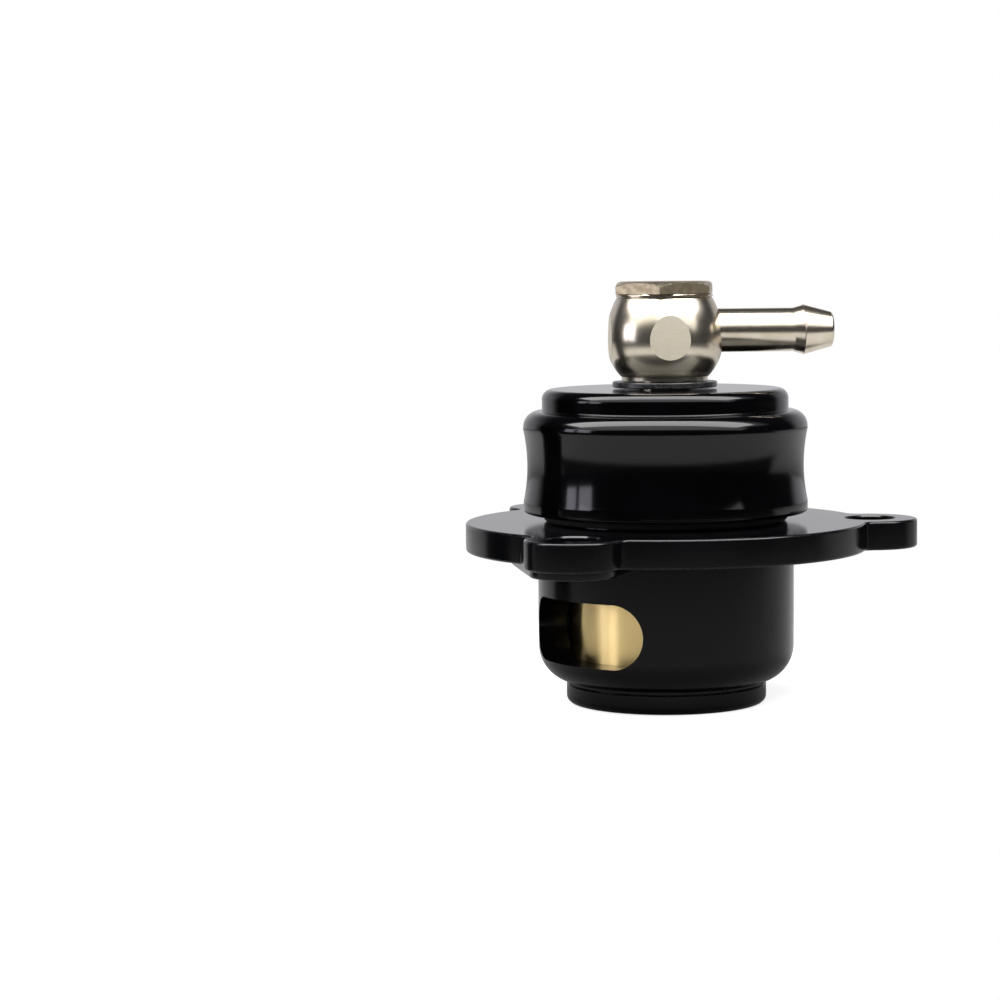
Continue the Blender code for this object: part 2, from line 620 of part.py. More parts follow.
def make_bolt(material):
    """Model the hollow bolt: chamfered hexagon head, shank, centre bore and cross hole."""
    corner = HEAD_ACROSS_FLATS / 2.0 / math.cos(math.pi / 6.0)
    face = HEAD_ACROSS_FLATS / 2.0 * HEAD_FACE_SHARE
    beyond = corner + OVERCUT / 2.0
    chamfer = (beyond - face) * math.tan(HEAD_CHAMFER_ANGLE)
    profile = [
        (0.0, HEAD_TOP),
        (face, HEAD_TOP),
        (beyond, HEAD_TOP - chamfer),
        (beyond, HEAD_BOTTOM),
        (SHANK_RADIUS, HEAD_BOTTOM),
        (SHANK_RADIUS, SHANK_END + SHANK_CHAMFER),
        (SHANK_RADIUS - SHANK_CHAMFER, SHANK_END),
        (0.0, SHANK_END),
    ]
    bolt = turned("banjo_bolt", profile, material, SMALL_STEPS)
    first_corner = -math.pi / 2.0 + HEAD_TURN
    hexagon = [polar(corner, first_corner + index * math.tau / 6) for index in range(6)]
    prism = extruded("bolt_hexagon", hexagon, SHANK_END - OVERCUT, HEAD_TOP + OVERCUT, None)
    boolean(bolt, prism, "INTERSECT")
    below = (0.0, 0.0, SHANK_END - OVERCUT)
    roof = (0.0, 0.0, HEAD_BOTTOM - BOLT_BORE_ROOF)
    boolean(bolt, rod("bolt_bore", below, roof, BOLT_BORE_RADIUS, BORE_STEPS), "DIFFERENCE")
    reach = SHANK_RADIUS + OVERCUT
    left = (-reach, 0.0, BARB_HEIGHT)
    right = (reach, 0.0, BARB_HEIGHT)
    boolean(bolt, rod("bolt_cross_hole", left, right, BARB_BORE_RADIUS, BORE_STEPS), "DIFFERENCE")
    return bolt


def add_empty(name, height, turn=0.0):
    """Return an empty on the valve's axis that carries one moving body."""
    empty = bpy.data.objects.new(name, None)
    empty.empty_display_size = BODY_RADIUS
    empty.location = (0.0, 0.0, height)
    empty.rotation_euler = (0.0, 0.0, turn)
    bpy.context.collection.objects.link(empty)
    return empty


def carry(empty, pieces):
    """Hang pieces on an empty; each keeps its mesh where it was modelled along the axis."""
    for piece in pieces:
        piece.parent = empty
        piece.location.z = -empty.location.z


def main():
    clear_scene()
    gloss_black = make_material("gloss_black_anodised", (0.012, 0.012, 0.014), 0.18, 0.6)
    satin_black = make_material("satin_black_anodised", (0.045, 0.045, 0.050), 0.40, 0.6)
    brass = make_material("turned_brass", (0.80, 0.66, 0.38), 0.25, 1.0)
    nickel = make_material("nickel_plate", (0.62, 0.59, 0.54), 0.22, 1.0)
    steel = make_material("spring_steel", (0.50, 0.50, 0.52), 0.35, 1.0)
    rubber = make_material("black_rubber", (0.015, 0.015, 0.016), 0.60, 0.0)
    plastic = make_material("guide_plastic", (0.75, 0.73, 0.68), 0.50, 0.0)

    make_valve_body(satin_black)
    make_spring_cap(gloss_black)
    cap_seal_radius = RELIEF_RADIUS + FLAT_GAP + CAP_O_RING_SECTION
    make_o_ring("cap_o_ring", cap_seal_radius, CAP_O_RING_SECTION, (FLANGE_TOP + CAP_BOTTOM) / 2.0, rubber)

    section = (RING_OUTER_RADIUS - RING_INNER_RADIUS) / 2.0
    middle = (RING_OUTER_RADIUS + RING_INNER_RADIUS) / 2.0
    o_ring_height = O_RING_BOTTOM + O_RING_GROOVE_HEIGHT / 2.0
    piston_parts = [make_piston(brass), make_o_ring("piston_o_ring", middle, section, o_ring_height, rubber)]
    for name, bottom in (("lower_guide_ring", LOWER_RING_BOTTOM), ("upper_guide_ring", UPPER_RING_BOTTOM)):
        piston_parts.append(make_flat_ring(name, RING_INNER_RADIUS, RING_OUTER_RADIUS, bottom,
                                           GUIDE_RING_HEIGHT, plastic, TURN_STEPS))
    carry(add_empty("piston_axis", PISTON_BOTTOM), piston_parts)

    make_spring(steel)
    make_flat_ring("spring_shim", CAP_BOSS_RADIUS + SHIM_CLEARANCE, POCKET_RADIUS - SLIDE_GAP, SHIM_BOTTOM,
                   SHIM_THICKNESS, steel, RING_STEPS)

    make_flat_ring("lower_washer", EYE_RADIUS, LOWER_WASHER_RADIUS, LOWER_WASHER_BOTTOM,
                   LOWER_WASHER_THICKNESS, satin_black, SMALL_STEPS)
    carry(add_empty("banjo_axis", BARB_HEIGHT, BANJO_TURN), [make_banjo(nickel)])
    make_flat_ring("upper_washer", EYE_RADIUS, UPPER_WASHER_RADIUS, UPPER_WASHER_BOTTOM,
                   UPPER_WASHER_THICKNESS, nickel, SMALL_STEPS)
    make_bolt(nickel)


main()
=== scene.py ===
"""Blow off valve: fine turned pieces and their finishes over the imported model.

Sizes are in metres and angles in degrees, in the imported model's own frame: the origin in the
spigot's end face, Z up along the valve's axis, X to the flange's right ear, Y away from the camera.
"""

import logging
import math
from dataclasses import dataclass, replace
from enum import Enum, IntEnum
from typing import Callable

import bmesh
import bpy
from mathutils import Matrix, Vector


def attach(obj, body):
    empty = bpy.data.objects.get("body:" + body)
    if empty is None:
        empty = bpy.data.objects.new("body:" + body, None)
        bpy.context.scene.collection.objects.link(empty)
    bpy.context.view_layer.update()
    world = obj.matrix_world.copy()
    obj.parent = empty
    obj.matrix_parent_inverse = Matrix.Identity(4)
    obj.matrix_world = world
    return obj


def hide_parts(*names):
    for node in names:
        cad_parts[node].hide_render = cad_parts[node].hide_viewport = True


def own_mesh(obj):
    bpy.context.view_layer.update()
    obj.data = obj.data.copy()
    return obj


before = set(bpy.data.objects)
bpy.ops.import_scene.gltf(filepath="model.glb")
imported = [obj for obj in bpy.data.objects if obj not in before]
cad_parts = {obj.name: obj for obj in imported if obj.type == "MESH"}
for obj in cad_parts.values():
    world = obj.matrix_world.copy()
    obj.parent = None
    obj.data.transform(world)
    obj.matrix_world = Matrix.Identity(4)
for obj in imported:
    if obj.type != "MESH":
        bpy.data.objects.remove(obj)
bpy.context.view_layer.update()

MM = 0.001
MERGE = 1e-6
OPS = bpy.ops.mesh
OVER = 1.0 * MM  # how far a cutter overshoots
EYE = 4.3 * MM  # radius of the hole that the bolt's shank goes through
BARB_HEIGHT = 52.0 * MM
WEAR_REACH = 1.5 * MM  # longest edge of a face that can wear
WEAR_TURN = (12.0, 40.0)  # turns of the surface at which wear starts and is full
SPECK = 0.5 * MM
SPECK_RUN = (0.38, 0.66)
CLOUD_RUN = (0.3, 0.7)
RING_DRIFT = 0.012
LINE_STRETCH = 0.02
QUARTER_TURN = 0.25
WHITE = (1.0, 1.0, 1.0)
ALONG_X = (0.0, 90.0, 0.0)  # the turn that lays along X what stands along Z

Point = tuple[float, float]
Triple = tuple[float, float, float]
Piece = bpy.types.Object
Socket = bpy.types.NodeSocket
Value = float | Triple | Socket

log = logging.getLogger("valve")


class Body(Enum):
    """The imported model's bodies."""

    HOUSING = "housing"
    PISTON = "piston_group"
    BANJO = "banjo_group"


class Slot(Enum):
    """The record's material slots."""

    BODY = "body_anodised"
    CAP = "cap_anodised"
    SEAL = "seal_rubber"
    PISTON = "piston_brass"
    GUIDE = "guide_plastic"
    SPRING = "spring_steel"
    WASHER = "washer_black"
    FITTING = "fitting_nickel"


class Steps(IntEnum):
    """How many straight steps a curve has, or sides a bar."""

    RIM = 4
    EDGE = 8
    FILLET = 10
    ROLL = 12
    WIRE = 14
    ARC = 24
    WAIST = 40
    SWEEP = 48
    BAR = 64
    FLANGE = 72
    HOLE = 96
    FITTING = 128
    TURNED = 192


class Joining(Enum):
    """What a Boolean modifier does with its tool."""

    ADD = "UNION"
    CUT = "DIFFERENCE"
    KEEP = "INTERSECT"


class Marks(Enum):
    """How the tool marks on a surface run."""

    RINGS = "rings"
    LINES = "lines"
    GRAIN = "grain"


# ---- modelling helpers


def deselect() -> None:
    """Leave edit mode and deselect every object."""
    if bpy.context.mode != "OBJECT":
        bpy.ops.object.mode_set(mode="OBJECT")
    bpy.ops.object.select_all(action="DESELECT")


def choose(piece: Piece) -> None:
    """Make one object the only selected and the active one.

    Args:
        piece: The object to work on.
    """
    deselect()
    piece.select_set(True)
    bpy.context.view_layer.objects.active = piece


def edit(piece: Piece) -> None:
    """Open one object in edit mode with all of it selected.

    Args:
        piece: The object to open.
    """
    choose(piece)
    bpy.ops.object.mode_set(mode="EDIT")
    OPS.select_all(action="SELECT")


def polar(radius: float, degrees: float) -> Point:
    """Return the plan point at a radius and an angle about the valve's axis.

    Args:
        radius: Distance from the axis.
        degrees: Angle from X towards Y.

    Returns:
        The point's x and y.
    """
    angle = math.radians(degrees)
    return radius * math.cos(angle), radius * math.sin(angle)


def primitive(kind: str, name: str, **settings: float) -> Piece:
    """Add one of Blender's primitives at the origin.

    Args:
        kind: Which one, as its operator is called.
        name: The new object's name.
        **settings: The operator's own settings.

    Returns:
        The new object.
    """
    deselect()
    getattr(OPS, f"primitive_{kind}_add")(**settings)
    made = bpy.context.object
    made.name = name
    return made


def place(piece: Piece, spot: Triple = (0, 0, 0), turn: Triple = (0, 0, 0)) -> Piece:
    """Turn and move an object, and put its place into its mesh.

    Args:
        piece: The object, still at the origin.
        spot: Where its origin goes.
        turn: Its turn about X, Y and Z.

    Returns:
        The same object.
    """
    choose(piece)
    piece.location = spot
    piece.rotation_euler = [math.radians(angle) for angle in turn]
    bpy.ops.object.transform_apply()
    return piece


def select_edges(piece: Piece, wanted: Callable[[bmesh.types.BMEdge], bool]) -> None:
    """Select the edges that pass a test, in edit mode.

    Args:
        piece: The object, open in edit mode.
        wanted: The test.
    """
    OPS.select_mode(type="EDGE")
    OPS.select_all(action="DESELECT")
    mesh = bmesh.from_edit_mesh(piece.data)
    for edge in mesh.edges:
        edge.select_set(wanted(edge))
    bmesh.update_edit_mesh(piece.data)


def join(piece: Piece, tool: Piece, how: Joining = Joining.CUT) -> None:
    """Add, cut or keep with a tool, which is then deleted.

    Args:
        piece: The object that changes.
        tool: The closed shape that changes it.
        how: What is done with the tool.
    """
    choose(piece)
    modifier = piece.modifiers.new("joining", "BOOLEAN")
    modifier.operation = how.value
    modifier.solver = "EXACT"
    modifier.object = tool
    bpy.ops.object.modifier_apply(modifier=modifier.name)
    bpy.data.meshes.remove(tool.data)


def rod(
    spot: Triple, radius: float, length: float, sides: int = Steps.BAR, turn: Triple = (0, 0, 0)
) -> Piece:
    """Return a round or many-sided bar.

    Args:
        spot: Its middle.
        radius: Its radius over the corners.
        length: Its length.
        sides: Its sides.
        turn: Its turn about X, Y and Z from standing along Z.

    Returns:
        The bar.
    """
    bar = primitive("cylinder", "bar", vertices=sides, radius=radius, depth=length)
    return place(bar, spot, turn)


class Sketch:
    """A wire that grows from one point in edit mode: lines extrude its end and arcs spin it."""

    def __init__(self, name: str, start: Triple) -> None:
        """Start the wire.

        Args:
            name: The new piece's name.
            start: The wire's first point.
        """
        self.piece = primitive("plane", name, size=MM)
        self.piece.data.name = name
        self.end = Vector(start)
        bpy.ops.object.mode_set(mode="EDIT")
        OPS.select_mode(type="VERT")
        OPS.merge(type="CENTER")
        bpy.ops.transform.translate(value=start)

    def line(self, point: Triple) -> None:
        """Draw a straight line to a point."""
        step = Vector(point) - self.end
        OPS.extrude_vertices_move(TRANSFORM_OT_translate={"value": step})
        self.end = Vector(point)

    def arc(self, centre: Triple, axis: Triple, degrees: float, steps: int) -> None:
        """Draw an arc from the wire's end.

        Args:
            centre: The arc's centre.
            axis: The direction that it turns about.
            degrees: How far it turns, by the right hand about the axis.
            steps: Its steps.
        """
        angle = math.radians(degrees)
        OPS.spin(steps=steps, angle=-angle, center=centre, axis=axis)
        pivot = Vector(centre)
        self.end = pivot + Matrix.Rotation(angle, 3, Vector(axis)) @ (self.end - pivot)

    def merge(self) -> None:
        """Select the whole wire and join the points that meet."""
        OPS.select_all(action="SELECT")
        OPS.remove_doubles(threshold=MERGE)


class Profile(Sketch):
    """A sketch of radius and height, to be turned about Z."""

    def __init__(self, name: str, radius: float, height: float) -> None:
        """Start the profile at a radius and a height."""
        super().__init__(name, (radius, 0.0, height))

    def to(self, *points: Point) -> "Profile":
        """Draw straight lines to points of radius and height, and return the profile."""
        for radius, height in points:
            self.line((radius, 0.0, height))
        return self

    def round(
        self, radius: float, height: float, degrees: float, steps: int = Steps.EDGE
    ) -> "Profile":
        """Draw an arc.

        Args:
            radius: Its centre's radius.
            height: Its centre's height.
            degrees: Its turn, counterclockwise with the axis at the left.
            steps: Its steps.

        Returns:
            The profile.
        """
        self.arc((radius, 0.0, height), (0, -1, 0), degrees, steps)
        return self

    def bow(self, last: Point, middle: Point, steps: int) -> "Profile":
        """Draw the arc to last that passes through middle.

        Args:
            last: Radius and height of the arc's end.
            middle: Radius and height of a point on it.
            steps: Its steps.

        Returns:
            The profile.
        """
        (ax, ay), (bx, by), (cx, cy) = (self.end.x, self.end.z), middle, last
        d = 2.0 * (ax * (by - cy) + bx * (cy - ay) + cx * (ay - by))
        a2, b2, c2 = ax * ax + ay * ay, bx * bx + by * by, cx * cx + cy * cy
        x = (a2 * (by - cy) + b2 * (cy - ay) + c2 * (ay - by)) / d
        y = (a2 * (cx - bx) + b2 * (ax - cx) + c2 * (bx - ax)) / d
        turn = math.degrees(math.atan2(cy - y, cx - x) - math.atan2(ay - y, ax - x))
        return self.round(x, y, (turn + 180.0) % 360.0 - 180.0, steps)

    def turned(self, steps: int = Steps.TURNED) -> Piece:
        """Spin the profile about Z into a closed shape and return its object."""
        self.merge()
        OPS.spin(steps=steps, angle=math.tau, center=(0, 0, 0), axis=(0, 0, 1))
        self.merge()
        OPS.normals_make_consistent()
        deselect()
        return self.piece


class Outline(Sketch):
    """A closed plan outline, to be raised into a plate."""

    def round(self, centre: Point, degrees: float, steps: int) -> None:
        """Draw an arc in plan.

        Args:
            centre: Its centre's x and y.
            degrees: Its turn, counterclockwise from above.
            steps: Its steps.
        """
        self.arc((*centre, self.end.z), (0, 0, 1), degrees, steps)

    def raised(self, thickness: float, edge: float, steps: int) -> Piece:
        """Fill the outline, raise it and round its rims.

        Args:
            thickness: The plate's thickness.
            edge: The width of the rounded rims.
            steps: How many faces round a rim.

        Returns:
            The plate.
        """
        self.merge()
        OPS.edge_face_add()
        OPS.extrude_region_move(TRANSFORM_OT_translate={"value": (0.0, 0.0, thickness)})
        OPS.select_all(action="SELECT")
        OPS.normals_make_consistent()
        select_edges(self.piece, lambda rim: abs(rim.verts[0].co.z - rim.verts[1].co.z) < MERGE)
        OPS.bevel(offset=edge, segments=steps, affect="EDGES")
        deselect()
        return self.piece


def mark_wear(piece: Piece) -> None:
    """Write how sharply the surface turns outward, on small faces only, for wear.

    Args:
        piece: The finished piece.
    """
    mesh = bmesh.new()
    mesh.from_mesh(piece.data)
    calm, full = (math.radians(angle) for angle in WEAR_TURN)
    shares = []
    for vertex in mesh.verts:
        turns = [edge.calc_face_angle_signed(0.0) for edge in vertex.link_edges]
        shares.append(min(max((max(turns, default=0.0) - calm) / (full - calm), 0.0), 1.0))
    values = []
    for face in mesh.faces:
        narrow = max(edge.calc_length() for edge in face.edges) < WEAR_REACH
        values.extend(shares[vertex.index] if narrow else 0.0 for vertex in face.verts)
    mesh.free()
    piece.data.attributes.new("wear", "FLOAT", "CORNER").data.foreach_set("value", values)


def complete(
    piece: Piece, slot: Slot, node: str, *finishes: "Finish",
    body: Body = Body.HOUSING, sharp: float = 35.0
) -> None:
    """Smooth a finished piece, mark its edges, hang it on its body, dress it and report it.

    Args:
        piece: The finished piece.
        slot: Its material slot in the record; not used.
        node: The CAD node that it stands for.
        *finishes: Its finishes; none when it is dressed already.
        body: The body that it rides on.
        sharp: The turn from which an edge shows.
    """
    choose(piece)
    bpy.ops.object.shade_smooth_by_angle(angle=math.radians(sharp))
    modifier = piece.modifiers.new("normals", "WEIGHTED_NORMAL")
    modifier.keep_sharp = True
    bpy.ops.object.modifier_apply(modifier=modifier.name)
    mark_wear(piece)
    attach(piece, body.value)
    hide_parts(node)
    if finishes:
        dress(piece, *finishes)
    log.info("%s: %d faces, rides on %s", piece.name, len(piece.data.polygons), body.value)


# ---- finishes


class Graph:
    """Adds nodes to one node tree and joins their sockets."""

    def __init__(self, owner: bpy.types.ID, empty: bool = True) -> None:
        """Switch on the nodes of a material or world, and clear them if wanted."""
        owner.use_nodes = True
        self.owner, self.tree = owner, owner.node_tree
        if empty:
            self.tree.nodes.clear()

    def feed(self, socket: Socket, value: Value) -> None:
        """Link a socket, or set its number, vector or opaque colour."""
        if isinstance(value, Socket):
            self.tree.links.new(value, socket)
        else:
            socket.default_value = (*value, 1.0) if socket.type == "RGBA" else value

    def add(self, kind: str, inputs: dict | None = None, **settings: object) -> bpy.types.Node:
        """Add a node.

        Args:
            kind: The node's type without its first word, ShaderNode.
            inputs: Socket names or numbers with what feeds them.
            **settings: The node's own settings.

        Returns:
            The node.
        """
        made = self.tree.nodes.new("ShaderNode" + kind)
        for name, value in settings.items():
            setattr(made, name, value)
        for name, value in (inputs or {}).items():
            self.feed(made.inputs[name], value)
        return made

    def out(self, kind: str, *values: Value, **settings: object) -> Socket:
        """Add a node with values for its first inputs, and return its first output."""
        return self.add(kind, dict(enumerate(values)), **settings).outputs[0]

    def calc(self, operation: str, *values: Value) -> Socket:
        """Return the result of a Math node on up to three values."""
        return self.out("Math", *values, operation=operation)

    def axes(self, vector: Socket) -> tuple[Socket, Socket, Socket]:
        """Return the vector's x, y and z."""
        return tuple(self.add("SeparateXYZ", {0: vector}).outputs)

    def spread(self, value: Socket, run: Point, first: float = 0.0, last: float = 1.0) -> Socket:
        """Return the smooth change from first to last as a value goes through a run."""
        return self.out("MapRange", value, *run, first, last, interpolation_type="SMOOTHSTEP")

    def blend(self, share: Value, first: Value, second: Value) -> Socket:
        """Return the colour between first and second."""
        return self.add("Mix", {0: share, 6: first, 7: second}, data_type="RGBA").outputs[2]

    def noise(self, vector: Socket, size: float, detail: float = 2.0) -> Socket:
        """Return a noise from 0 to 1 with spots of about a size."""
        inputs = {"Vector": vector, "Scale": 1.0 / size, "Detail": detail}
        return self.add("TexNoise", inputs).outputs[0]

    def coat(self, piece: Piece, surface: Socket) -> None:
        """Give the material its surface, and a piece the material."""
        self.add("OutputMaterial", {"Surface": surface})
        piece.data.materials.append(self.owner)


@dataclass(frozen=True)
class Finish:
    """One surface finish, with its tool marks, its colour variation and its wear."""

    name: str
    colour: Triple
    tone: Triple
    worn: Triple
    roughness: float
    metallic: float = 0.0
    ior: float = 1.45
    marks: Marks = Marks.RINGS
    pitch: float = 0.22 * MM
    depth: float = 0.0006 * MM
    roughness_swing: float = 0.04
    wear: float = 0.3
    anisotropy: float = 0.0
    turn: Triple = (0, 0, 0)
    cloud: float = 9.0 * MM

    def pattern(self, graph: Graph, spot: Socket) -> Socket:
        """Return the height of the tool marks.

        Args:
            graph: The material's nodes.
            spot: The place, turned so that rings run about Z.

        Returns:
            The height, from 0 to 1.
        """
        x, y, z = graph.axes(spot)
        if self.marks is Marks.RINGS:
            squares = graph.calc("MULTIPLY", x, x), graph.calc("MULTIPLY", y, y)
            radius = graph.calc("SQRT", graph.calc("ADD", *squares))
            drift = graph.calc("MULTIPLY", x, RING_DRIFT)
            rings = graph.out("CombineXYZ", radius, drift, z)
            return graph.noise(rings, self.pitch, 3.0)
        if self.marks is Marks.LINES:
            along = graph.calc("MULTIPLY", x, LINE_STRETCH)
            return graph.noise(graph.out("CombineXYZ", along, y, z), self.pitch)
        return graph.noise(spot, self.pitch)

    def material(self) -> bpy.types.Material:
        """Make the finish's material and return it."""
        made = bpy.data.materials.new(self.name)
        graph = Graph(made, empty=False)
        shader = made.node_tree.nodes["Principled BSDF"]
        where = graph.add("TexCoord").outputs["Object"]
        turn = [math.radians(angle) for angle in self.turn]
        spot = graph.add("Mapping", {"Vector": where, "Rotation": turn}).outputs[0]
        marks = self.pattern(graph, spot)
        cloud = graph.noise(where, self.cloud, 4.0)
        speck = graph.spread(graph.noise(where, SPECK, 3.0), SPECK_RUN, 0.0, self.wear)
        edge = graph.add("Attribute", attribute_name="wear").outputs["Fac"]
        rubbed = graph.calc("MULTIPLY", edge, speck)
        shade = graph.blend(graph.spread(cloud, CLOUD_RUN), self.colour, self.tone)
        smoothest = self.roughness - self.roughness_swing / 2.0
        streak = graph.calc("MULTIPLY_ADD", marks, self.roughness_swing, smoothest)
        bump = {"Height": marks, "Distance": self.depth}
        inputs = {
            "Base Color": graph.blend(rubbed, shade, self.worn),
            "Roughness": graph.calc("MULTIPLY_ADD", cloud, self.roughness_swing, streak),
            "Metallic": self.metallic,
            "IOR": self.ior,
            "Normal": graph.add("Bump", bump).outputs[0],
        }
        if self.anisotropy > 0.0:
            inputs["Anisotropic"] = self.anisotropy
            inputs["Anisotropic Rotation"] = QUARTER_TURN
            inputs["Tangent"] = graph.out("Tangent", direction_type="RADIAL", axis="Z")
        for name, value in inputs.items():
            graph.feed(shader.inputs[name], value)
        return made


GLOSS_BLACK = Finish(
    "gloss_black_anodised", (0.0002, 0.0002, 0.0003), (0.0006, 0.0006, 0.0009), (0.02, 0.02, 0.024),
    0.09, ior=1.35, depth=0.0002 * MM, roughness_swing=0.03
)
SATIN_BLACK = Finish(
    "satin_black_anodised", (0.0006, 0.0007, 0.0009), (0.0014, 0.0015, 0.0018), (0.03, 0.03, 0.034),
    0.17, ior=1.22, depth=0.0005 * MM
)
FACED_BLACK = Finish(
    "faced_black_anodised", (0.0006, 0.0006, 0.0008), (0.0014, 0.0014, 0.0018), (0.03, 0.03, 0.034),
    0.10, ior=1.36, depth=0.0003 * MM
)
TURNED_BRASS = Finish(
    "turned_brass", (0.84, 0.64, 0.30), (0.76, 0.56, 0.24), (0.90, 0.76, 0.45), 0.28, metallic=1.0,
    depth=0.0004 * MM, anisotropy=0.9
)
NICKEL = Finish(
    "nickel_plate", (0.63, 0.57, 0.47), (0.52, 0.46, 0.36), (0.78, 0.73, 0.64), 0.20, metallic=1.0,
    depth=0.0012 * MM, pitch=0.18 * MM, cloud=3.0 * MM
)
NICKEL_BARB = replace(NICKEL, name="nickel_plate_barb", turn=ALONG_X)
NICKEL_HEAD = Finish(
    "nickel_plate_head", (0.46, 0.38, 0.26), (0.28, 0.23, 0.15), (0.80, 0.74, 0.62), 0.28,
    metallic=1.0, marks=Marks.GRAIN, depth=0.012 * MM, pitch=0.45 * MM, roughness_swing=0.12,
    wear=0.7, cloud=0.9 * MM
)
NICKEL_FLAT = Finish(
    "nickel_brushed_flat", (0.54, 0.50, 0.41), (0.48, 0.44, 0.35), (0.70, 0.66, 0.58), 0.50,
    metallic=1.0, marks=Marks.LINES, depth=0.012 * MM, roughness_swing=0.25
)
WASHER_BLACK = Finish(
    "washer_black_anodised", (0.006, 0.006, 0.007), (0.010, 0.010, 0.011), (0.06, 0.06, 0.065),
    0.25
)
SEAL_RUBBER = Finish(
    "seal_rubber", (0.012, 0.012, 0.013), (0.018, 0.018, 0.018), (0.03, 0.03, 0.03), 0.62,
    marks=Marks.GRAIN, depth=0.004 * MM
)
GUIDE_PLASTIC = Finish(
    "guide_plastic", (0.72, 0.70, 0.64), (0.66, 0.63, 0.57), (0.78, 0.76, 0.70), 0.48,
    marks=Marks.GRAIN, depth=0.002 * MM
)
SPRING_STEEL = Finish(
    "spring_steel", (0.50, 0.50, 0.52), (0.42, 0.42, 0.43), (0.62, 0.62, 0.63), 0.33, metallic=1.0,
    marks=Marks.GRAIN, depth=0.002 * MM
)


def dress(piece: Piece, *finishes: Finish) -> None:
    """Give a piece its finishes, one to a material slot.

    Args:
        piece: The piece.
        *finishes: The finishes in the order of the slots.
    """
    piece.data.materials.clear()
    for finish in finishes:
        piece.data.materials.append(bpy.data.materials.get(finish.name) or finish.material())


def assign(piece: Piece, slot: int, wanted: Callable[[bpy.types.MeshPolygon], bool]) -> None:
    """Give the faces that pass a test another material slot.

    Args:
        piece: The piece.
        slot: The material slot's number.
        wanted: The test of a face.
    """
    for face in piece.data.polygons:
        if wanted(face):
            face.material_index = slot


# ---- sub-assemblies


